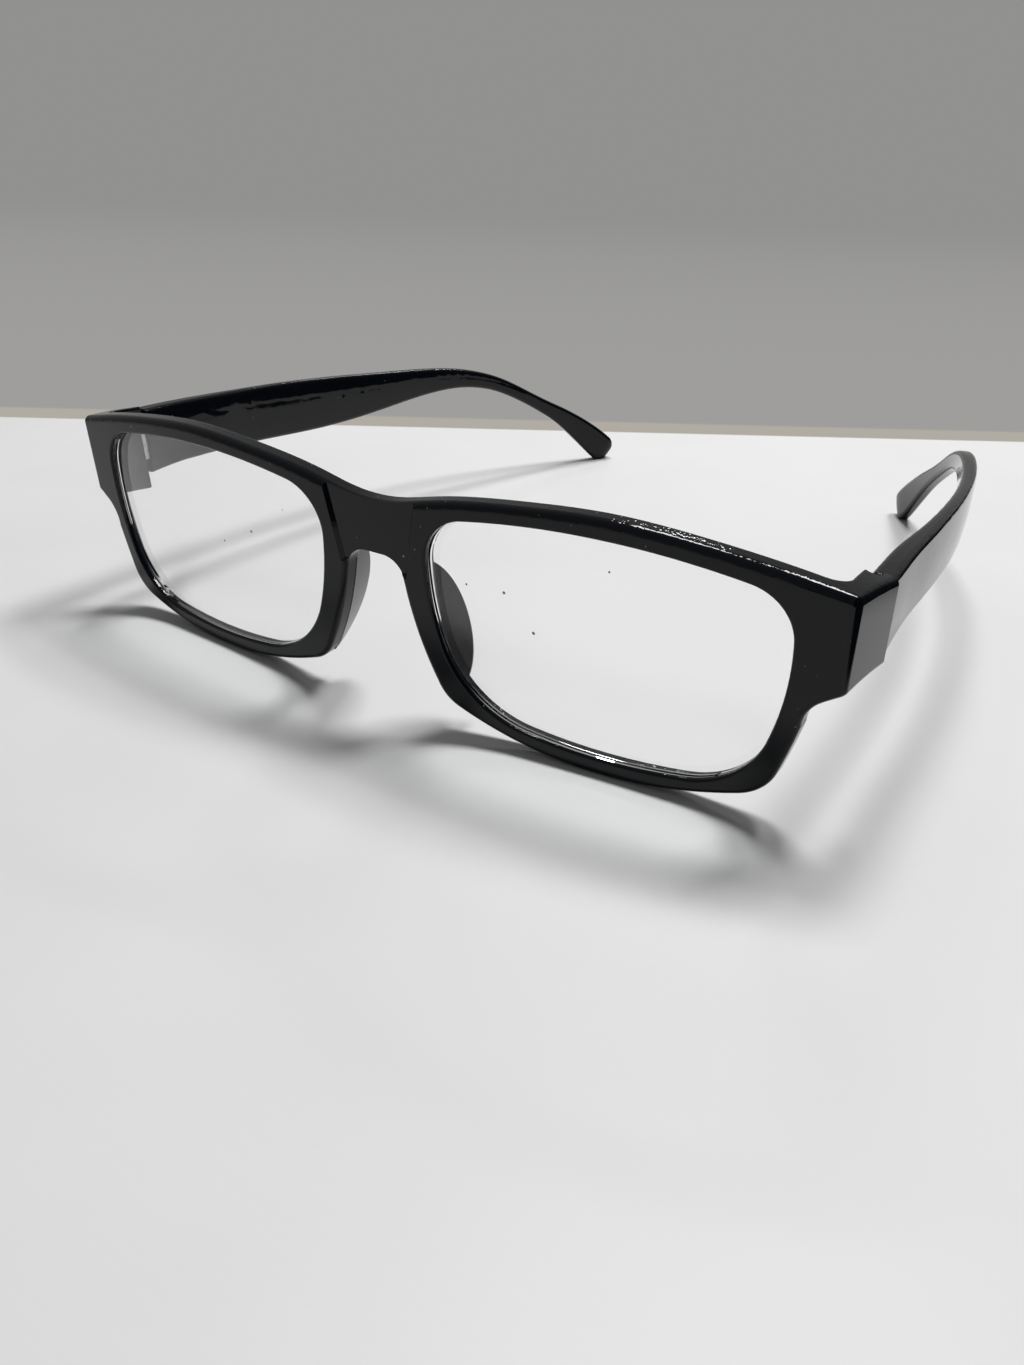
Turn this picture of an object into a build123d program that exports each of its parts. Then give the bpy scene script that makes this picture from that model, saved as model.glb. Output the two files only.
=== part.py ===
"""Rectangular full-rim eyeglasses with plastic frame, clear lenses and folding temples.

Everything is shaped with the front upright: X runs across the front with 0 at the bridge,
Y runs from the wearer's view back along the temples, and Z is up with 0 at the middle of the lenses.
Left is the wearer's left, at positive X. The left half is shaped and the right half mirrors it.
The finished pieces are then leaned and lifted until both rims and both temple tips touch Z = 0.
"""
import math
import os

from build123d import *

os.makedirs("parts", exist_ok=True)

# Lens opening and bridge
lens_width = 52.0
lens_height = 33.5
bridge_gap = 19.0
top_crown = 2.95
bottom_crown = 2.2
nasal_crown = 2.45
temporal_crown = 2.4
opening_top_round = 7.5
opening_nasal_round = 17.0
opening_temporal_round = 12.3
opening_corner_shares = ((0.0035, 0.421), (0.983, 0.402), (0.907, -0.443), (0.127, -0.417))

# Front moulding
front_depth = 3.2
front_bow_radius = 420.0
brow_height = 2.8
brow_end_drop = 4.3
bridge_top = 15.4
bridge_arch = 7.1
rim_bottom_wall = 3.2
rim_bottom_crown = 4.9
rim_side_wall = 2.7
rim_outer_round = 7.0
rim_nasal_round = 6.4
arch_round = 3.8
bridge_recess = 0.65
brow_round = 1.1
rim_round = 0.8
rear_round = 0.4
opening_edge_round = 0.4
brow_across_shares = (0.1525, 0.365, 0.5325, 0.726, 0.909)
brow_rise_shares = (0.403, 0.867, 1.0)
brow_fall_shares = (0.244, 0.707)
arch_half_share = 0.51
nasal_bow_shares = (0.742, -0.0976)
nasal_foot_shares = (0.0442, -0.3194)
temporal_foot_shares = (0.928, -0.3485)
temporal_waist_shares = (0.988, -0.113)
temporal_bow_shares = (0.9625, -0.27)
recess_top_half = 8.0
recess_foot_half = 5.6
recess_slope = 45.0

# Lenses and their grooves
lens_thickness = 1.8
lens_curve_radius = 165.0
lens_setback = 0.6
groove_depth = 0.6
groove_width = 1.0
seat_clearance = 0.05

# End pieces
endpiece_reach = 6.7
hinge_seam = 17.2
endpiece_thickness = 4.2
endpiece_flare = 1.5
endpiece_bottom = 3.15
endpiece_round = 1.2
endpiece_inner_round = 3.0
fall_radius = 80.0
notch_drop = 4.0
notch_round = 5.0
seam_gap = 0.1

# Hinges
barrel_radius = 1.0
barrel_height = 7.0
knuckle_count = 5
knuckle_gap = 0.06
pivot_inset = 1.1
pivot_setback = 0.85
pocket_clearance = 0.2
hinge_drop = 7.1
screw_radius = 0.6
screw_clearance = 0.03
screw_head_radius = 0.95
screw_head_height = 0.5
screw_slot_width = 0.25
washer_thickness = 0.2
leaf_thickness = 0.8
leaf_height = 5.6
leaf_length = 5.0
temple_leaf_length = 9.0
leaf_barb = 0.5

# Temples
temple_reach = 132.6
temple_drop = 35.9
temple_inset = 26.2
temple_height = 11.9
temple_thickness = 4.0
temple_round = 0.9
temple_outer_crown = 0.3
temple_inner_crown = 0.45
temple_corner = 0.3
temple_end_middle = 7.45
# Along the temple: shares of the reach, the drop, the inset, the height and the thickness
temple_shares = (
    (0, 0, 0.002, 1, 1),
    (0.045, 0.005, 0.01, 0.955, 0.956),
    (0.09, 0.018, 0.017, 0.932, 0.912),
    (0.173, 0.054, 0.02, 0.924, 0.775),
    (0.255, 0.094, 0.027, 0.93, 0.7),
    (0.337, 0.135, 0.043, 0.915, 0.688),
    (0.419, 0.17, 0.075, 0.844, 0.675),
    (0.501, 0.195, 0.124, 0.707, 0.681),
    (0.55, 0.206, 0.162, 0.612, 0.684),
    (0.598, 0.218, 0.207, 0.518, 0.688),
    (0.642, 0.234, 0.255, 0.441, 0.697),
    (0.685, 0.259, 0.309, 0.377, 0.706),
    (0.727, 0.299, 0.369, 0.33, 0.716),
    (0.768, 0.356, 0.435, 0.299, 0.725),
    (0.806, 0.43, 0.506, 0.28, 0.725),
    (0.842, 0.513, 0.581, 0.273, 0.725),
    (0.877, 0.6, 0.661, 0.297, 0.725),
    (0.912, 0.691, 0.745, 0.367, 0.725),
    (0.944, 0.79, 0.831, 0.467, 0.716),
    (0.974, 0.897, 0.919, 0.56, 0.708),
    (1, 1, 1, 0.608, 0.7),
)
# Around the tip: shares of the tip's rounding length, and of its height and thickness there
tip_rounding = 3.8
tip_shares = ((0.35, 0.97, 0.97), (0.65, 0.83, 0.86), (0.87, 0.60, 0.68), (0.97, 0.36, 0.48))

# Nose pads
pad_seat = 2.5
pad_reach = 7.5
pad_splay = 2.3
pad_thickness = 1.8
pad_half_height = 10.2
pad_drop = 3.3
pad_round = 0.7

# Standing
foot_land = 0.1

# Length by which raw bodies and cuts pass what they shape
overrun = 30.0

# Derived places
nasal_edge = bridge_gap / 2
lens_middle = nasal_edge + lens_width / 2
half_front = nasal_edge + lens_width + endpiece_reach
brow_top = lens_height / 2 + brow_height
brow_end = brow_top - brow_end_drop
side_outer = half_front + endpiece_flare
side_inner = side_outer - endpiece_thickness
pivot_x = side_inner + pivot_inset
pivot_y = hinge_seam - pivot_setback
pocket_radius = barrel_radius + pocket_clearance
temple_start = hinge_seam + seam_gap
barrel_top = brow_end - hinge_drop + barrel_height / 2
barrel_bottom = barrel_top - barrel_height
barrel_middle = (barrel_top + barrel_bottom) / 2
groove_middle = lens_setback + lens_thickness / 2
recess_reach = bridge_recess * 3
knuckle_pitch = (barrel_height + knuckle_gap) / knuckle_count
knuckle_height = knuckle_pitch - knuckle_gap
behind = Plane.XZ.offset(-overrun)
below = Plane.XY.offset(-overrun)


def lens_point(shares, out=0, up=0):
    """A place on the front, given as shares of the lens width from its nasal edge and of its height."""
    return nasal_edge + lens_width * shares[0] + out, lens_height * shares[1] + up


def bulge(start, end, rise):
    """The middle point of a shallow arc that stands off its chord, to the left of its direction."""
    across = end[0] - start[0]
    along = end[1] - start[1]
    chord = math.hypot(across, along)
    middle = ((start[0] + end[0]) / 2, (start[1] + end[1]) / 2)
    return middle[0] - along / chord * rise, middle[1] + across / chord * rise


def bow_depth(x):
    """How far back the front face of the bowed front lies at a distance from the bridge."""
    return front_bow_radius - math.sqrt(front_bow_radius**2 - x**2)


def bow_band(near, far):
    """A layer of the bowed front, between two depths behind its front face."""
    with BuildPart() as band:
        with BuildSketch(below):
            with Locations((0, front_bow_radius)):
                Circle(front_bow_radius - near)
                Circle(front_bow_radius - far, mode=Mode.SUBTRACT)
        extrude(amount=2 * overrun)
    return band.part


nasal_top, temporal_top, temporal_bottom, nasal_bottom = [lens_point(s) for s in opening_corner_shares]


def opening_shape(growth):
    """The lens opening, or a shape that runs a little outside or inside of it."""
    with BuildSketch(behind) as shape:
        with BuildLine():
            ThreePointArc(nasal_top, bulge(nasal_top, temporal_top, top_crown), temporal_top)
            ThreePointArc(temporal_top, bulge(temporal_top, temporal_bottom, temporal_crown), temporal_bottom)
            ThreePointArc(temporal_bottom, bulge(temporal_bottom, nasal_bottom, bottom_crown), nasal_bottom)
            ThreePointArc(nasal_bottom, bulge(nasal_bottom, nasal_top, nasal_crown), nasal_top)
        make_face()
        offset(amount=growth, kind=Kind.INTERSECTION)
        upper = [v for v in shape.vertices() if v.Y > 0]
        fillet(upper, opening_top_round + growth)
        fillet(shape.vertices().sort_by_distance(nasal_bottom)[0], opening_nasal_round + growth)
        fillet(shape.vertices().sort_by_distance(temporal_bottom)[0], opening_temporal_round + growth)
    return shape.sketch


# Brow line from the bridge to the side face
bridge_rise = brow_top - bridge_top
brow_heights = [bridge_top + bridge_rise * s for s in brow_rise_shares]
brow_heights += [brow_top - brow_end_drop * s for s in brow_fall_shares]
brow_points = [(half_front * x, z) for x, z in zip(brow_across_shares, brow_heights)]
brow_slope = -brow_end_drop / lens_width * 2
brow_corner = (half_front, brow_end)
brow_beyond = (half_front + endpiece_thickness, brow_end + brow_slope * endpiece_thickness)
brow_line = [(0, bridge_top), *brow_points, brow_corner, brow_beyond]
brow_ends = [(1, 0), (1, brow_slope)]

# Left half of the front's outline, from the bridge round the rim, running on past the side face
foot_outer = lens_point(temporal_foot_shares, rim_side_wall, -rim_bottom_wall)
foot_inner = lens_point(nasal_foot_shares, 0, -rim_bottom_wall)
waist = lens_point(temporal_waist_shares, rim_side_wall)
waist_below = lens_point(temporal_bow_shares, rim_side_wall)
nasal_middle = (nasal_edge * nasal_bow_shares[0], lens_height * nasal_bow_shares[1])
arch_corner = (nasal_edge * arch_half_share, bridge_arch)
notch_side = (side_outer, endpiece_bottom)
notch_foot = (waist[0], endpiece_bottom - notch_drop)
beyond_side = half_front + endpiece_thickness
with BuildSketch(Plane.XZ) as outline:
    with BuildLine():
        Spline(*brow_line, tangents=brow_ends)
        Line(brow_line[-1], (beyond_side, endpiece_bottom))
        Line((beyond_side, endpiece_bottom), notch_side)
        Line(notch_side, notch_foot)
        Line(notch_foot, waist)
        ThreePointArc(waist, waist_below, foot_outer)
        ThreePointArc(foot_outer, bulge(foot_outer, foot_inner, rim_bottom_crown), foot_inner)
        ThreePointArc(foot_inner, nasal_middle, arch_corner)
        Line(arch_corner, (0, bridge_arch))
        Line((0, bridge_arch), (0, bridge_top))
    make_face()
    fillet(outline.vertices().sort_by_distance(foot_outer)[0], rim_outer_round)
    fillet(outline.vertices().sort_by_distance(foot_inner)[0], rim_nasal_round)
    fillet(outline.vertices().sort_by_distance(arch_corner)[0], arch_round)
    fillet(outline.vertices().sort_by_distance(notch_foot)[0], notch_round)

# The same half seen from above: the bow of the front, and the end piece behind its outer corner
side_front = bow_depth(half_front)
rear_bow = front_bow_radius - front_depth
bow_middle = (half_front / 2, bow_depth(half_front / 2))
inner_front = front_bow_radius - math.sqrt(rear_bow**2 - side_inner**2)
rear_middle = (side_inner / 2, front_bow_radius - math.sqrt(rear_bow**2 - side_inner**2 / 4))
with BuildSketch(below) as plan:
    with BuildLine():
        ThreePointArc((0, 0), bow_middle, (half_front, side_front))
        Line((half_front, side_front), (side_outer, hinge_seam))
        Line((side_outer, hinge_seam), (side_inner, hinge_seam))
        Line((side_inner, hinge_seam), (side_inner, inner_front))
        ThreePointArc((side_inner, inner_front), rear_middle, (0, front_depth))
        Line((0, front_depth), (0, 0))
    make_face()
    fillet(plan.vertices().sort_by_distance((half_front, side_front))[0], endpiece_round)
    fillet(plan.vertices().sort_by_distance((side_inner, inner_front))[0], endpiece_inner_round)

# The outline is carried back along a path that falls gently behind the brow
fall_axis = Axis((0, 0, -fall_radius), (-1, 0, 0))
fall_turn = math.degrees(hinge_seam / (fall_radius - lens_height))


def is_level(edge):
    """True for an edge that doesn't stand upright."""
    return abs(edge.tangent_at(0.5).Z) < 0.999


def lies_on_bow(edge, radius):
    """True for an edge that runs across one of the bowed faces."""
    samples = [edge.position_at(share) for share in (0.1, 0.5, 0.9)]
    offsets = [abs(math.hypot(p.X, p.Y - front_bow_radius) - radius) for p in samples]
    return edge.center().X > seam_gap and is_level(edge) and max(offsets) < seam_gap / overrun


def round_front(upper, radius):
    """Round the front face and the side face along the brow, or along the rims below it."""
    level = [e for e in edges() if is_level(e)]
    side = [e for e in level if e.center().X > half_front - endpiece_round / 2]
    side = [e for e in side if side_front < e.center().Y < hinge_seam - seam_gap]
    face = [e for e in level if lies_on_bow(e, front_bow_radius)]
    fillet([e for e in face + side if (e.center().Z > lens_height / 4) == upper], radius)


def nasal_line(shift):
    """The edge of the rim towards the nose, moved sideways."""
    ends = [(x + shift, z) for x, z in (foot_inner, nasal_middle, arch_corner)]
    return ThreePointArc(*ends)


def pad_body(clearance):
    """A nose pad: a leaning wing behind the nasal side of the rim, with a half-moon outline."""
    with BuildPart() as wing:
        for setback, shift in ((0, 0), (pad_reach, pad_splay)):
            with BuildSketch(Plane.XZ.offset(-pad_seat - setback)):
                with BuildLine():
                    face = nasal_line(shift - clearance)
                    back = nasal_line(shift + pad_thickness + clearance)
                    Line(face @ 0, back @ 0)
                    Line(face @ 1, back @ 1)
                make_face()
        loft()
        with BuildSketch(Plane.YZ):
            with Locations((pad_seat, -pad_drop)):
                Ellipse(pad_reach - pad_round / 2, pad_half_height + clearance)
        extrude(amount=half_front, mode=Mode.INTERSECT)
    return wing.part


def hinge_plate(direction, length, clearance):
    """The flat part of a hinge leaf, set in the plastic and held there by its wider head."""
    near = pivot_y + direction * (barrel_radius + pocket_clearance / 2 - clearance)
    far = pivot_y + direction * (barrel_radius + length + clearance)
    head = far - direction * (leaf_barb * 2 + clearance * 2)
    with BuildPart() as plate:
        with BuildSketch(Plane.YZ.offset(pivot_x - leaf_thickness / 2 - clearance)):
            with Locations(((near + far) / 2, barrel_middle)):
                Rectangle(abs(far - near), leaf_height + 2 * clearance)
            with Locations(((head + far) / 2, barrel_middle)):
                Rectangle(abs(far - head), leaf_height + 2 * leaf_barb + 2 * clearance)
        extrude(amount=leaf_thickness + 2 * clearance)
    return plate.part


def hinge_leaf(direction, length, first_knuckle):
    """A hinge leaf: its plate, and every other knuckle of the barrel."""
    web_length = barrel_radius + pocket_clearance / 2
    with BuildPart() as leaf:
        add(hinge_plate(direction, length, 0))
        for index in range(first_knuckle, knuckle_count, 2):
            with BuildSketch(Plane.XY.offset(barrel_bottom + index * knuckle_pitch)):
                with Locations((pivot_x, pivot_y)):
                    Circle(barrel_radius)
                with Locations((pivot_x, pivot_y + direction * web_length / 2)):
                    Rectangle(leaf_thickness, web_length)
            extrude(amount=knuckle_height)
        with Locations((pivot_x, pivot_y, barrel_middle)):
            Cylinder(screw_radius + screw_clearance, barrel_height * 2, mode=Mode.SUBTRACT)
    return leaf.part


with BuildPart() as half:
    add(revolve(outline.sketch, axis=fall_axis, revolution_arc=fall_turn, mode=Mode.PRIVATE))
    extrude(plan.sketch, amount=2 * overrun, mode=Mode.INTERSECT)

    # Rounds along the front face and round the side face, then along the rear
    round_front(True, brow_round)
    round_front(False, rim_round)
    rear_face = [e for e in edges() if lies_on_bow(e, front_bow_radius - front_depth)]
    inner = [e for e in edges() if is_level(e) and inner_front < e.center().Y < hinge_seam - seam_gap]
    inner = [e for e in inner if abs(e.center().X - side_inner) < endpiece_inner_round]
    fillet(rear_face + inner, rear_round)

    # Lens opening with softened edges, and the groove round it
    extrude(opening_shape(0), amount=2 * overrun, mode=Mode.SUBTRACT)
    rim_edges = edges(Select.LAST)
    fillet([e for e in rim_edges if lies_on_bow(e, front_bow_radius)], opening_edge_round)
    groove_band = bow_band(groove_middle - groove_width / 2, groove_middle + groove_width / 2)
    groove = extrude(opening_shape(groove_depth), amount=2 * overrun, mode=Mode.PRIVATE) & groove_band
    add(groove, mode=Mode.SUBTRACT)

    # Seat of the nose pad, and the room and slot for the hinge
    add(pad_body(seat_clearance), mode=Mode.SUBTRACT)
    with BuildSketch(below):
        with Locations((pivot_x, pivot_y)):
            Circle(pocket_radius)
        with Locations((pivot_x - endpiece_thickness / 2, pivot_y + endpiece_thickness / 2)):
            Rectangle(endpiece_thickness, endpiece_thickness)
    extrude(amount=2 * overrun, mode=Mode.SUBTRACT)
    add(hinge_plate(-1, leaf_length, seat_clearance), mode=Mode.SUBTRACT)

with BuildPart() as front_frame:
    add(half.part)
    mirror(half.part, about=Plane.YZ)

    # Step down to the bridge's recessed face, with sloping ends
    with BuildSketch(Plane.XZ.offset(-bridge_recess)) as recess:
        with BuildLine():
            Polyline(
                (recess_top_half, bridge_top + recess_reach),
                (recess_foot_half, bridge_arch - recess_reach),
                (-recess_foot_half, bridge_arch - recess_reach),
                (-recess_top_half, bridge_top + recess_reach),
                close=True,
            )
        make_face()
    extrude(amount=recess_reach / 2, taper=-recess_slope, mode=Mode.SUBTRACT)

# Lens: a shell of a sphere, with a ridge round its edge that sits in the groove
lens_face = bow_depth(lens_middle)
lens_turn = math.asin(lens_middle / front_bow_radius)
edge_sag = lens_width**2 / 8 * (1 / lens_curve_radius - 1 / front_bow_radius)
edge_sag += lens_height**2 / 8 / lens_curve_radius
to_centre = lens_curve_radius + lens_setback - edge_sag / 2
lens_centre = (lens_middle - to_centre * math.sin(lens_turn), lens_face + to_centre * math.cos(lens_turn))
with BuildPart() as lens:
    extrude(opening_shape(-seat_clearance), amount=2 * overrun)
    with Locations((*lens_centre, 0)):
        Sphere(lens_curve_radius, mode=Mode.INTERSECT)
        Sphere(lens_curve_radius - lens_thickness, mode=Mode.SUBTRACT)
    ridge_near = groove_middle - groove_width / 2 + seat_clearance
    ridge_far = groove_middle + groove_width / 2 - seat_clearance
    ridge = extrude(opening_shape(groove_depth - seat_clearance), amount=2 * overrun, mode=Mode.PRIVATE)
    ridge -= extrude(opening_shape(-groove_width), amount=2 * overrun, mode=Mode.PRIVATE)
    add(ridge & bow_band(ridge_near, ridge_far))

# Nose pad with its free edge rounded
with BuildPart() as nose_pad:
    add(pad_body(0))
    free_edges = [e for e in edges() if e.center().Y > pad_seat + pad_reach / 4]
    fillet(free_edges, pad_round)

# Hinge pieces: leaves, pivot screw and the washer under its head
with BuildPart() as front_leaf:
    add(hinge_leaf(-1, leaf_length, 0))
with BuildPart() as temple_leaf:
    add(hinge_leaf(1, temple_leaf_length, 1))
with BuildPart() as hinge_screw:
    with BuildSketch(Plane.XY.offset(barrel_bottom)):
        with Locations((pivot_x, pivot_y)):
            Circle(screw_radius)
    extrude(amount=barrel_height + washer_thickness)
    with BuildSketch(Plane.XY.offset(barrel_top + washer_thickness)):
        with Locations((pivot_x, pivot_y)):
            Circle(screw_head_radius)
    extrude(amount=screw_head_height)
    with BuildSketch(Plane.XY.offset(barrel_top + washer_thickness + screw_head_height / 2)):
        with Locations((pivot_x, pivot_y)):
            Rectangle(screw_slot_width, screw_head_radius * 3)
    extrude(amount=screw_head_height, mode=Mode.SUBTRACT)
with BuildPart() as hinge_washer:
    with BuildSketch(Plane.XY.offset(barrel_top)):
        with Locations((pivot_x, pivot_y)):
            Circle(screw_head_radius)
            Circle(screw_radius + screw_clearance, mode=Mode.SUBTRACT)
    extrude(amount=washer_thickness)

# Temple: sections set square to a line that runs along its outer face
temple_line = [
    Vector(
        side_outer - temple_inset * inset,
        temple_start + temple_reach * reach,
        temple_end_middle - temple_drop * drop,
    )
    for reach, drop, inset, _, _ in temple_shares
]
headings = [(temple_line[min(i + 1, len(temple_line) - 1)] - temple_line[max(i - 1, 0)]).normalized()
            for i in range(len(temple_line))]
stations = []
for point, heading, row in zip(temple_line, headings, temple_shares):
    stations.append((point, heading, temple_height * row[3], temple_thickness * row[4], temple_round))
first, last = stations[0], stations[-1]
stations.insert(0, (first[0] - first[1] * temple_thickness, *first[1:]))
for along, tall, wide in tip_shares:
    point = last[0] + last[1] * tip_rounding * along
    stations.append((point, last[1], last[2] * tall, last[3] * wide, last[4] * wide))
sections = []
for point, heading, tall, thick, corner in stations:
    outward = Vector(heading.Y, -heading.X, 0)
    outer = -temple_outer_crown * tall / temple_height
    inner = -thick + temple_inner_crown * tall / temple_height
    with BuildSketch(Plane(origin=point, x_dir=outward, z_dir=heading)) as section:
        with BuildLine():
            ThreePointArc((outer, -tall / 2), (0, 0), (outer, tall / 2))
            Line((outer, tall / 2), (inner, tall / 2))
            ThreePointArc((inner, tall / 2), (-thick, 0), (inner, -tall / 2))
            Line((inner, -tall / 2), (outer, -tall / 2))
        make_face()
        fillet(section.vertices(), corner)
    sections.append(section.sketch.face())
with BuildPart() as temple:
    loft(sections)
    split(bisect_by=Plane.XZ.offset(-temple_start), keep=Keep.BOTTOM)
    end_edges = edges().filter_by_position(Axis.Y, temple_start - seam_gap, temple_start + seam_gap)
    fillet(end_edges, temple_corner)
    with BuildSketch(Plane.XY.offset(barrel_bottom - pocket_clearance)):
        with Locations((pivot_x, pivot_y)):
            Circle(pocket_radius)
        with Locations((pivot_x - endpiece_thickness / 2, pivot_y)):
            Rectangle(endpiece_thickness, 2 * pocket_radius)
    extrude(amount=barrel_height + washer_thickness + screw_head_height + 2 * pocket_clearance, mode=Mode.SUBTRACT)
    add(hinge_plate(1, temple_leaf_length, seat_clearance), mode=Mode.SUBTRACT)

# The lean at which the rims and the temple tips stand on one level
def outline_places(piece):
    """Places all along the edges of a piece, seen from the side."""
    places = [edge.position_at(share / 40) for edge in piece.edges() for share in range(41)]
    return [(place.Y, place.Z) for place in places]


def lowest(places, lean):
    """How low a piece reaches when it is leaned."""
    return min(y * math.sin(lean) + z * math.cos(lean) for y, z in places)


front_places = outline_places(front_frame)
temple_places = outline_places(temple)
lean = 0.0
step = math.radians(1)
for _ in range(100):
    if lowest(temple_places, lean + step) < lowest(front_places, lean + step) - foot_land:
        lean += step
    else:
        step /= 2
foremost = min(y * math.cos(lean) - z * math.sin(lean) for y, z in front_places)
rearmost = max(y * math.cos(lean) - z * math.sin(lean) for y, z in temple_places)
lift = -lowest(front_places, lean)
standing = Location((0, -(foremost + rearmost) / 2, lift), (math.degrees(lean), 0, 0))


def stand(piece, label, mirrored=False, footed=False):
    """Lean and lift a piece into its place, flatten its foot where it has one, and write it out."""
    with BuildPart() as placed:
        add(piece.part.mirror(Plane.YZ).moved(standing) if mirrored else piece.part.moved(standing))
        if footed:
            split(bisect_by=Plane.XY, keep=Keep.TOP)
    placed.part.label = label
    export_step(placed.part, f"parts/{label}.step")
    return placed


stand(front_frame, "front_frame")
for side, mirrored in (("left", False), ("right", True)):
    stand(lens, f"{side}_lens", mirrored)
    stand(nose_pad, f"{side}_nose_pad", mirrored)
    stand(front_leaf, f"{side}_front_hinge_leaf", mirrored)
    stand(temple_leaf, f"{side}_temple_hinge_leaf", mirrored)
    stand(hinge_screw, f"{side}_hinge_screw", mirrored)
    stand(hinge_washer, f"{side}_hinge_washer", mirrored)
    stand(temple, f"{side}_temple", mirrored, footed=True)

# Places that the joints and mounts follow
pivot = standing * Location((pivot_x, pivot_y, barrel_middle))
print("lean", round(math.degrees(lean), 4), "lift", round(lift, 4), "shift", round(standing.position.Y, 4))
print("pivot", [round(v, 4) for v in pivot.position], "axis", [0, round(-math.sin(lean), 6), round(math.cos(lean), 6)])
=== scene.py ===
"""Rectangular eyeglasses: finishes, small details, floor, light and camera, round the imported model."""
import math

import bmesh
import bpy
from mathutils import Matrix, Vector


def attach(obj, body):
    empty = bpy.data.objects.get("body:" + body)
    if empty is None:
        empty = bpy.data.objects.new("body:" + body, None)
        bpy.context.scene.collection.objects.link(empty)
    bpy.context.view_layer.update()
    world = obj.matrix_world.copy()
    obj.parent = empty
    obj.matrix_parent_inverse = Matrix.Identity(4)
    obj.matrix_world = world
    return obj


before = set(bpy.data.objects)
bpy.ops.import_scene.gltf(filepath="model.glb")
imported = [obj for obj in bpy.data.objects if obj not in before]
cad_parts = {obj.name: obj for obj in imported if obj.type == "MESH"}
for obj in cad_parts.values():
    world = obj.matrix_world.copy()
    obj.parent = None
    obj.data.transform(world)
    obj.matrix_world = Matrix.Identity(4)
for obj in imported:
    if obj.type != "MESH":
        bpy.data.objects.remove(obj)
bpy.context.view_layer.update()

MM = 0.001
SIDES = ("left", "right")
RIGHTWARD = (1.0, 0.0, 0.0)
UPWARD = (0.0, 0.0, 1.0)

# How the upright front is leaned, moved forward and lifted to stand on the table
lean = math.radians(4.8786)
stand_forward = 76.789 * MM
stand_up = 19.0691 * MM
upright = Matrix.Translation((0, -stand_forward, stand_up)) @ Matrix.Rotation(lean, 4, "X")

# Blender's Mix node has several sockets of each name, so its colour sockets are taken by number
MIX_SHARE = 0
MIX_FIRST = 6
MIX_SECOND = 7
MIX_RESULT = 2


# Shader maths
class Value:
    """A shader socket that takes part in Python expressions."""

    def __init__(self, finish, socket):
        self.finish = finish
        self.socket = socket

    def maths(self, operation, first, second):
        return self.finish.node("ShaderNodeMath", {"operation": operation}, {0: first, 1: second})

    def __add__(self, other):
        return self.maths("ADD", self, other)

    def __radd__(self, other):
        return self.maths("ADD", other, self)

    def __sub__(self, other):
        return self.maths("SUBTRACT", self, other)

    def __rsub__(self, other):
        return self.maths("SUBTRACT", other, self)

    def __mul__(self, other):
        return self.maths("MULTIPLY", self, other)

    def __rmul__(self, other):
        return self.maths("MULTIPLY", other, self)

    def __truediv__(self, other):
        return self.maths("DIVIDE", self, other)

    def __rtruediv__(self, other):
        return self.maths("DIVIDE", other, self)

    def __lt__(self, other):
        return self.maths("LESS_THAN", self, other)

    def __gt__(self, other):
        return self.maths("GREATER_THAN", self, other)

    def larger(self, other):
        """The larger of two values, which for two masks is where either shows."""
        return self.maths("MAXIMUM", self, other)

    def along(self, direction):
        """How far a place or a direction reaches along another direction."""
        values = {0: self, 1: direction}
        return self.finish.node("ShaderNodeVectorMath", {"operation": "DOT_PRODUCT"}, values, "Value")

    def ramp(self, low, high, start=0.0, end=1.0):
        """Runs smoothly from start to end while this value runs from low to high."""
        values = {"Value": self, "From Min": low, "From Max": high, "To Min": start, "To Max": end}
        return self.finish.node("ShaderNodeMapRange", {"interpolation_type": "SMOOTHSTEP"}, values)


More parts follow.
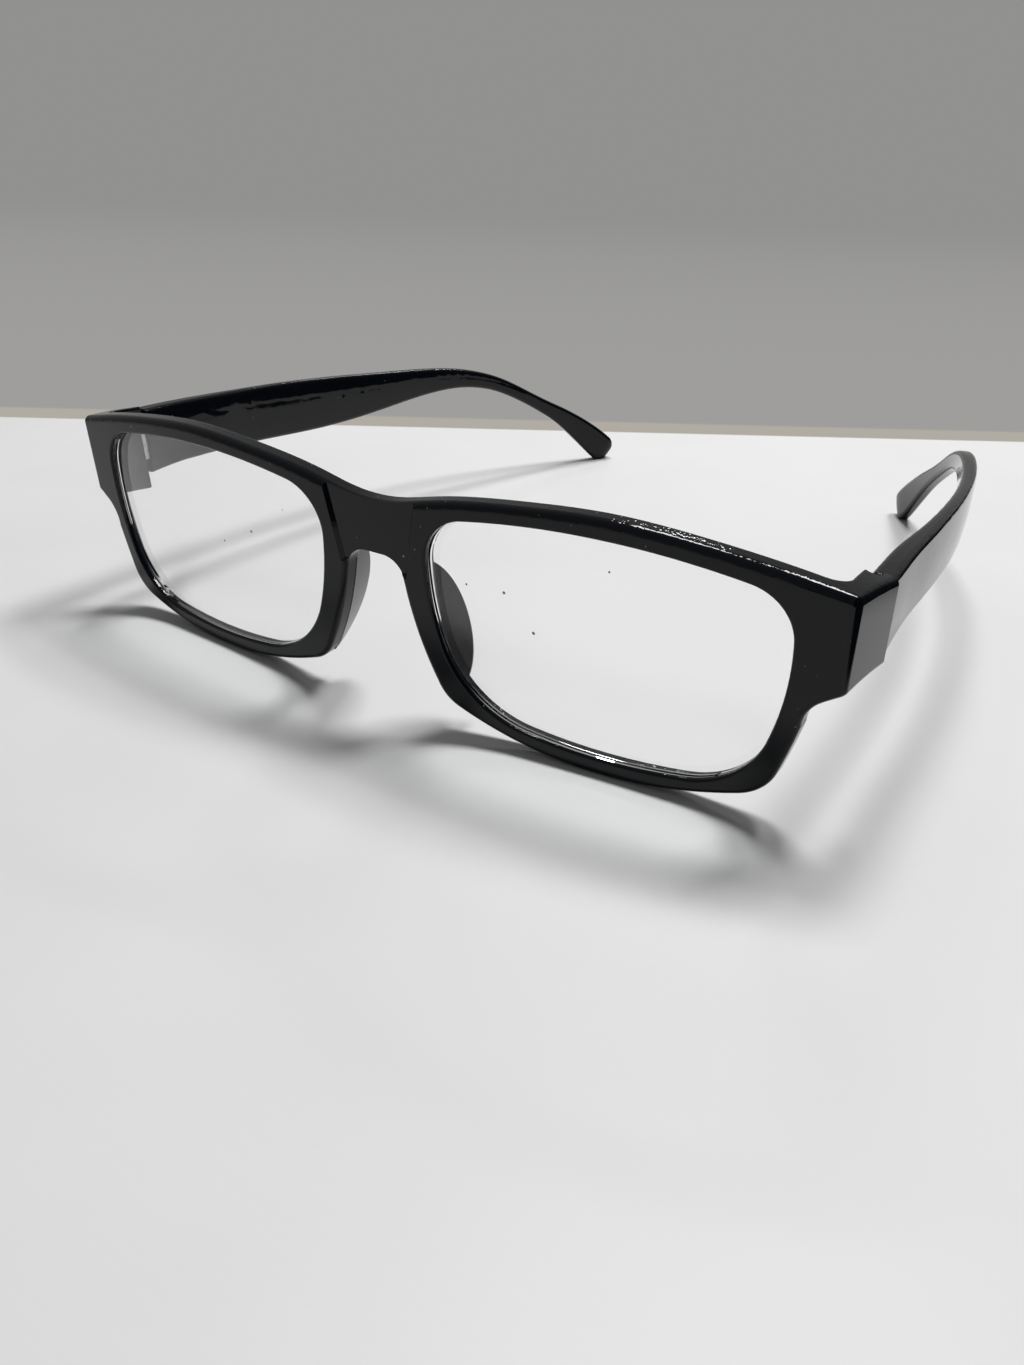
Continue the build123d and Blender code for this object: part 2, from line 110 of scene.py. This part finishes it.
class Finish:
    """A material, or the world, under construction."""

    def __init__(self, name, world=False):
        self.owner = bpy.data.worlds.new(name) if world else bpy.data.materials.new(name)
        self.owner.use_nodes = True
        self.tree = self.owner.node_tree
        self.tree.nodes.clear()
        self.output = self.tree.nodes.new("ShaderNodeOutputWorld" if world else "ShaderNodeOutputMaterial")

    def node(self, kind, settings=None, values=None, out=0):
        """Adds a node, with its settings, its socket values or links, and gives one of its outputs."""
        made = self.tree.nodes.new(kind)
        for name, setting in (settings or {}).items():
            setattr(made, name, setting)
        for name, value in (values or {}).items():
            if isinstance(value, Value):
                self.tree.links.new(value.socket, made.inputs[name])
            else:
                made.inputs[name].default_value = value
        return Value(self, made.outputs[out])

    def place(self, turn=(0, 0, 0), scale=(1, 1, 1)):
        """Object coordinates in metres, turned and stretched."""
        raw = self.node("ShaderNodeTexCoord", out="Object")
        values = {"Vector": raw, "Rotation": turn, "Scale": scale}
        return self.node("ShaderNodeMapping", {"vector_type": "POINT"}, values)

    def ray(self, kind):
        """1 for light paths of a kind, such as what gloss mirrors or the camera sees directly."""
        return self.node("ShaderNodeLightPath", out=f"Is {kind} Ray")

    def noise(self, place, scale, detail=3.0, roughness=0.55):
        values = {"Vector": place, "Scale": scale, "Detail": detail, "Roughness": roughness}
        return self.node("ShaderNodeTexNoise", None, values)

    def grains(self, place, scale, size, share):
        """Small round grains on a share of the cells of an uneven grid: 1 on a grain, 0 beside it."""
        least_size = size * 0.4
        solid_part = 0.75
        values = {"Vector": place, "Scale": scale, "Randomness": 1.0}
        near = self.node("ShaderNodeTexVoronoi", {"feature": "F1"}, values, "Distance")
        tint = self.node("ShaderNodeTexVoronoi", {"feature": "F1"}, values, "Color")
        red = self.node("ShaderNodeSeparateColor", None, {"Color": tint}, "Red")
        green = self.node("ShaderNodeSeparateColor", None, {"Color": tint}, "Green")
        edge = near / (green * size + least_size)
        return edge.ramp(solid_part, 1.0, start=1.0, end=0.0) * (red < share)

    def blend(self, share, first, second):
        """Colours mixed by a share."""
        values = {MIX_SHARE: share, MIX_FIRST: first, MIX_SECOND: second}
        return self.node("ShaderNodeMix", {"data_type": "RGBA"}, values, MIX_RESULT)

    def bump(self, height, depth, strength):
        return self.node("ShaderNodeBump", None, {"Height": height, "Distance": depth, "Strength": strength})

    def principled(self, values):
        return self.node("ShaderNodeBsdfPrincipled", None, values)

    def glow(self, shade):
        """Shows a colour as it is, lit or not."""
        return self.node("ShaderNodeEmission", None, {"Color": shade, "Strength": 1.0})

    def mixed(self, share, first, second):
        """Two shaders mixed by a share."""
        return self.node("ShaderNodeMixShader", None, {0: share, 1: first, 2: second})

    def surface(self, shader):
        self.tree.links.new(shader.socket, self.output.inputs["Surface"])
        return self.owner


def colour(red, green, blue):
    return (red, green, blue, 1.0)


# Finishes: a pattern's scale is in waves or cells per metre, and a height is a share of the bump's depth
dust_grey = colour(0.30, 0.30, 0.29)


def gloss_black(name, tint, dust_share):
    """Polished black moulding with a flow ripple, rub marks, dust, small nicks, and frost on top faces."""
    finish = Finish(name)
    place = finish.place()
    flow = finish.noise(place, scale=95.0, detail=2.0)
    skin = finish.noise(place, scale=1500.0, detail=2.0)
    smudge = finish.noise(place, scale=210.0, detail=4.0, roughness=0.65)
    rub_place = finish.place(turn=(0.2, 0.1, 0.55), scale=(6500, 180, 900))
    rub_lines = finish.noise(rub_place, scale=1.0, detail=2.0).ramp(0.68, 0.76)
    grains = finish.grains(place, scale=380.0, size=0.075, share=dust_share)
    fluff = finish.grains(place, scale=1300.0, size=0.16, share=dust_share * 0.5)
    nicks = finish.grains(place, scale=230.0, size=0.045, share=0.05)
    top_faces = finish.node("ShaderNodeNewGeometry", out="Normal").along(UPWARD).ramp(0.45, 0.95)
    frost = finish.noise(place, scale=1700.0, detail=1.0) * top_faces

    flow_height = 0.14
    skin_height = 0.02
    frost_height = 0.45
    nick_depth = 0.6
    grain_height = 0.35
    height = flow * flow_height + skin * skin_height + frost * frost_height
    height = height - nicks * nick_depth + grains * grain_height

    polished = 0.03
    smeared = 0.09
    rub_roughness = 0.08
    dust_roughness = 0.45
    rough = smudge.ramp(0.45, 0.8, polished, smeared)
    rough = rough + rub_lines * rub_roughness + (grains + fluff) * dust_roughness

    grain_cover = 0.75
    fluff_cover = 0.35
    rub_cover = 0.008
    cover = grains * grain_cover + fluff * fluff_cover + rub_lines * rub_cover

    # The refraction is below a plastic's 1.5, to bring the front faces near the photograph's dark tone
    values = {
        "Base Color": finish.blend(cover, colour(*tint), dust_grey),
        "Roughness": rough,
        "IOR": 1.33,
        "Normal": finish.bump(height, depth=0.10 * MM, strength=0.8),
    }
    return finish.surface(finish.principled(values))


def clear_lens():
    """Clear lens material: glass that lets the light of the lamps through, with a few specks of dust."""
    finish = Finish("clear_lens")
    place = finish.place()
    specks = finish.grains(place, scale=190.0, size=0.042, share=0.17)
    lint = finish.grains(place, scale=700.0, size=0.10, share=0.012)
    glass_values = {
        "Base Color": colour(0.985, 0.992, 0.988),
        "Roughness": 0.0,
        "IOR": 1.52,
        "Transmission Weight": 1.0,
    }
    through = finish.node("ShaderNodeBsdfTransparent", None, {"Color": colour(0.93, 0.94, 0.94)})
    unbent = finish.ray("Shadow").larger(finish.ray("Diffuse"))
    clear = finish.mixed(unbent, finish.principled(glass_values), through)
    dirt = finish.principled({"Base Color": colour(0.22, 0.21, 0.19), "Roughness": 0.8})
    return finish.surface(finish.mixed(specks + lint, clear, dirt))


def hinge_steel():
    """Tumbled steel of the hinge leaves, screws and washers, with fine turning marks and dull patches."""
    finish = Finish("hinge_steel")
    turning_marks = finish.noise(finish.place(scale=(900, 900, 14000)), scale=1.0, detail=2.0)
    patches = finish.noise(finish.place(), scale=700.0, detail=4.0)
    mark_roughness = 0.08
    bright_steel = colour(0.60, 0.60, 0.61)
    dull_steel = colour(0.42, 0.41, 0.41)
    values = {
        "Base Color": finish.blend(patches.ramp(0.35, 0.7), bright_steel, dull_steel),
        "Metallic": 1.0,
        "Roughness": patches.ramp(0.3, 0.8, 0.22, 0.42) + turning_marks * mark_roughness,
        "Normal": finish.bump(turning_marks, depth=0.02 * MM, strength=0.6),
    }
    return finish.surface(finish.principled(values))


frame_black = gloss_black("gloss_black_moulding", tint=(0.0028, 0.0036, 0.0052), dust_share=0.10)
# The nose pads take the frame's black made a little lighter, a painted sheen standing in for the bright
# table they mirror, and they carry more dust
pad_black_painted_sheen = gloss_black("nose_pad_black", tint=(0.0045, 0.0047, 0.0054), dust_share=0.16)
lens_clear = clear_lens()
steel = hinge_steel()

for name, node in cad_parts.items():
    if name == "front_frame" or name.endswith("_temple"):
        material = frame_black
    elif name.endswith("_lens"):
        material = lens_clear
    elif name.endswith("_nose_pad"):
        material = pad_black_painted_sheen
    else:
        material = steel
    for slot in node.material_slots:
        slot.material = material


# Small pieces
def add_piece(name, form, material, body):
    """Makes an object of a finished form, smooth all over, that moves with a body."""
    bmesh.ops.recalc_face_normals(form, faces=form.faces)
    for face in form.faces:
        face.smooth = True
    mesh = bpy.data.meshes.new(name)
    form.to_mesh(mesh)
    form.free()
    mesh.materials.append(material)
    piece = bpy.data.objects.new(name, mesh)
    bpy.context.scene.collection.objects.link(piece)
    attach(piece, body)


# The front seam of a nose pad, in millimetres in the upright front: how far back it lies, and for each
# bead of bonding that fills it, its height, its distance from the middle, its radius and half its length.
# The beads end flush with the moulding, so they hardly show.
bond_depth = 2.55
bond_beads = (
    (-0.3, 6.50, 0.16, 0.7),
    (-1.2, 6.66, 0.22, 0.5),
    (-2.0, 6.84, 0.17, 0.4),
)
bead_tilt = 0.2
bead_flatness = 0.8
bead_lumps = 0.10
bulge_rate = 5.1
dent_rate_across = 4.3
dent_rate_along = 3.0


def pad_bond(side):
    """Irregular beads of bonding along the front seam of a nose pad."""
    outward = 1 if side == "left" else -1
    form = bmesh.new()
    for high, across, radius, half_length in bond_beads:
        stretch = Matrix.Diagonal((radius, radius * bead_flatness, half_length, 1))
        turn = Matrix.Rotation(bead_tilt * outward, 4, "Y") @ stretch
        at = Matrix.Translation(Vector((across * outward, bond_depth, high)))
        standing = upright @ Matrix.Scale(MM, 4) @ at @ turn
        bead = bmesh.ops.create_icosphere(form, subdivisions=3, radius=1.0)
        for corner in bead["verts"]:
            bulge = math.sin(corner.co.z * bulge_rate + high)
            dent = math.sin(corner.co.x * dent_rate_across + corner.co.z * dent_rate_along)
            corner.co *= 1.0 + (bulge * bead_lumps + dent * bead_lumps)
        bmesh.ops.transform(form, matrix=standing, verts=bead["verts"])
    add_piece(f"{side}_pad_bond", form, pad_black_painted_sheen, "front")


for side in SIDES:
    pad_bond(side)


# Floor, room, lamps and camera

# The table's rear edge: the level direction that is square to it, and its distance from the origin
edge_across = (-0.5637, 0.8260, 0.0)
edge_distance = 115.4 * MM
wall_grey = colour(0.345, 0.341, 0.333)
wall_dim = colour(0.285, 0.283, 0.278)
strip_beige = colour(0.44, 0.41, 0.365)
# The room's dark at the right, as gloss sees it; on the table's right side it is painted on as a reflection
dark_room_reflection = colour(0.012, 0.013, 0.016)


def table_top():
    """Pale table with a faint grain. Past its rear edge are a thin strip and a grey wall.

    Its right side is a painted dark reflection: gloss sees there a dark glow instead of the table.
    """
    finish = Finish("pale_table")
    raw = finish.node("ShaderNodeTexCoord", out="Object")
    across = raw.along(edge_across)
    past_edge = (across - edge_distance).ramp(-0.8 * MM, 0.8 * MM)
    past_strip = (across - edge_distance).ramp(11.0 * MM, 14.5 * MM)
    grain = finish.noise(finish.place(scale=(40, 900, 1)), scale=1.0)
    clouds = finish.noise(finish.place(), scale=14.0)
    specks = finish.grains(finish.place(), scale=30.0, size=0.012, share=0.20)
    speck_cover = 0.7
    pale = finish.blend(clouds.ramp(0.3, 0.7), colour(0.775, 0.770, 0.768), colour(0.805, 0.800, 0.798))
    values = {
        "Base Color": finish.blend(specks * speck_cover, pale, colour(0.30, 0.29, 0.28)),
        "Roughness": 0.45,
        "Specular IOR Level": 0.25,
        "Normal": finish.bump(grain, depth=0.1 * MM, strength=0.15),
    }
    table = finish.principled(values)
    wall = finish.blend(across.ramp(0.12, 1.2), wall_grey, wall_dim)
    beyond = finish.glow(finish.blend(past_strip, strip_beige, wall))
    table_and_wall = finish.mixed(past_edge, table, beyond)
    # Painted reflection: to gloss, the table's right side glows dark instead of showing the table
    right_side = raw.along(RIGHTWARD).ramp(100 * MM, 115 * MM)
    mirrored_dark = right_side * finish.ray("Glossy")
    return finish.surface(finish.mixed(mirrored_dark, table_and_wall, finish.glow(dark_room_reflection)))


floor_reach = 6.0
floor_mesh = bpy.data.meshes.new("table_top")
floor_form = bmesh.new()
bmesh.ops.create_grid(floor_form, x_segments=8, y_segments=8, size=floor_reach)
floor_form.to_mesh(floor_mesh)
floor_form.free()
floor_mesh.materials.append(table_top())
floor = bpy.data.objects.new("table_top", floor_mesh)
bpy.context.scene.collection.objects.link(floor)


def room():
    """Soft even light, plain grey to the camera.

    Gloss and glass see it grey ahead, dimmer and bluish behind, and dark at the right.
    """
    finish = Finish("soft_room", world=True)
    soft_light = colour(0.125, 0.125, 0.128)
    blue_grey = colour(0.19, 0.205, 0.235)
    sight = finish.node("ShaderNodeTexCoord", out="Generated")
    shown = finish.blend(sight.along(edge_across).ramp(-0.3, 0.25), blue_grey, wall_dim)
    shown = finish.blend(sight.along(RIGHTWARD).ramp(0.15, 0.5), shown, dark_room_reflection)
    camera_ray = finish.ray("Camera")
    seen = finish.ray("Glossy").larger(finish.ray("Transmission")).larger(camera_ray)
    shown = finish.blend(camera_ray, shown, wall_dim)
    light = finish.blend(seen, soft_light, shown)
    return finish.surface(finish.node("ShaderNodeBackground", None, {"Color": light, "Strength": 1.0}))


bpy.context.scene.world = room()


def lamp(name, towards, distance, power, width, height):
    """A soft rectangular lamp that looks at the origin, amid the eyeglasses."""
    data = bpy.data.lights.new(name, "AREA")
    data.shape = "RECTANGLE"
    data.size = width
    data.size_y = height
    data.energy = power
    made = bpy.data.objects.new(name, data)
    way = Vector(towards).normalized()
    made.location = way * distance
    made.rotation_mode = "QUATERNION"
    made.rotation_quaternion = way.to_track_quat("Z", "Y")
    bpy.context.scene.collection.objects.link(made)


lamp("right_lamp", towards=(0.20, 0.45, 1.0), distance=1.1, power=5.9, width=0.26, height=0.26)
lamp("left_lamp", towards=(-0.14, 0.32, 1.0), distance=1.1, power=5.9, width=0.26, height=0.26)
lamp("rear_strip", towards=(-0.30, 0.75, 0.57), distance=1.2, power=0.7, width=0.30, height=0.03)

# The camera, placed in the upright frame of the front and then leaned with it
azimuth = math.radians(32.983)
elevation = math.radians(31.589)
roll = math.radians(-0.895)
camera_distance = 165.101
target = Vector((16.375, 11.636, -15.606)) * MM
level = math.cos(elevation)
back = Vector((math.sin(azimuth) * level, -math.cos(azimuth) * level, math.sin(elevation)))
right = Vector(UPWARD).cross(back).normalized()
up = back.cross(right)
turned_right = right * math.cos(roll) + up * math.sin(roll)
turned_up = up * math.cos(roll) - right * math.sin(roll)
axes = Matrix((turned_right, turned_up, back)).transposed().to_4x4()
camera_data = bpy.data.cameras.new("camera")
camera_data.lens = 27.811
camera_data.sensor_width = 36.0
camera_data.clip_start = 0.01
camera_data.clip_end = 50.0
camera = bpy.data.objects.new("camera", camera_data)
camera.matrix_world = upright @ Matrix.Translation(target + back * camera_distance * MM) @ axes
bpy.context.scene.collection.objects.link(camera)
bpy.context.scene.camera = camera

bpy.context.scene.view_settings.view_transform = "Standard"
